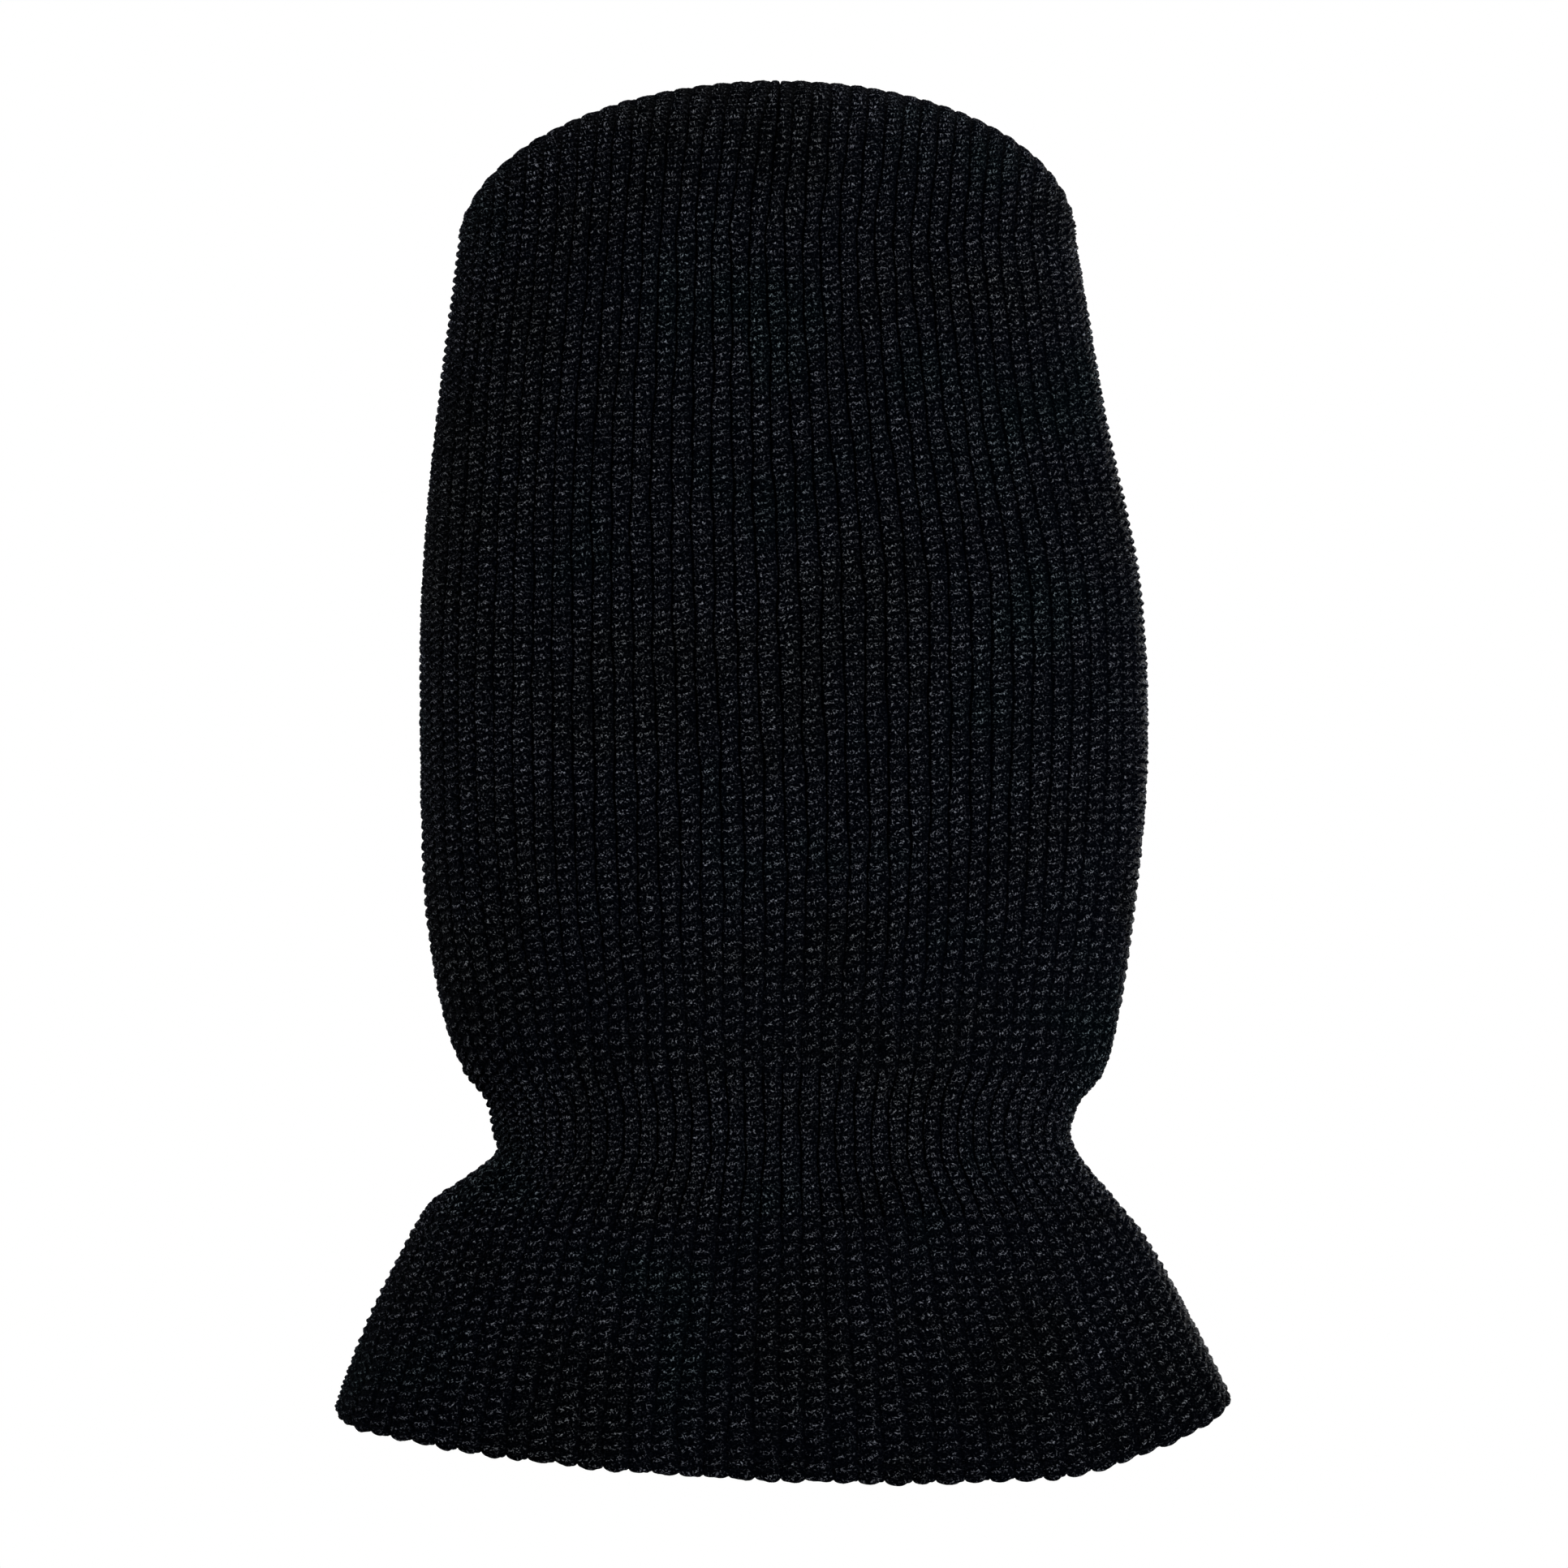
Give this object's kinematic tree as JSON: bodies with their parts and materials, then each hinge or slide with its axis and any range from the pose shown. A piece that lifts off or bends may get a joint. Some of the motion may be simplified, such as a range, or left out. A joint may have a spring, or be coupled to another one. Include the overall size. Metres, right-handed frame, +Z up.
{
  "type": "balaclava",
  "caption": "Rib-knit ski balaclava with eye and mouth openings, a tight neck band and a flared skirt, hanging upright and lightly filled.",
  "frame": {"origin": "the seat inside the top of the crown, where a head or a hat stand holds the hood", "axes": "+Z up along the hood towards the crown, the face looks along -Y, the wearer's left is +X"},
  "size_m": [0.2576, 0.085, 0.3995],
  "materials": {
    "knit": "thick black rib knit in acrylic yarn",
    "binding": "firm black knitted edging",
    "seam_yarn": "black sewing yarn",
    "label_satin": "dark grey woven satin ribbon, blank"
  },
  "bodies": {
    "hood": {"crown": "knit", "hood_back": "knit", "hood_front": "knit", "neck_band": "knit", "left_eye_binding": "binding", "right_eye_binding": "binding", "mouth_binding": "binding", "left_hood_seam": "seam_yarn", "right_hood_seam": "seam_yarn", "crown_seam": "seam_yarn"},
    "skirt": {"skirt_back": "knit", "skirt_front": "knit", "hem_edge": "knit", "left_skirt_seam": "seam_yarn", "right_skirt_seam": "seam_yarn", "label_stitches": "seam_yarn"},
    "label": {"care_label": "label_satin"}
  },
  "joints": [
    {"name": "neck_bend", "type": "hinge", "parent": "hood", "child": "skirt", "pos_m": [0, 0, -0.298], "axis": [1, 0, 0], "range_deg": [-35, 35], "deforming": ["neck_band"]},
    {"name": "label_flap", "type": "hinge", "parent": "skirt", "child": "label", "pos_m": [0, 0.0245, -0.322], "axis": [1, 0, 0], "range_deg": [-60, 8]}
  ]
}
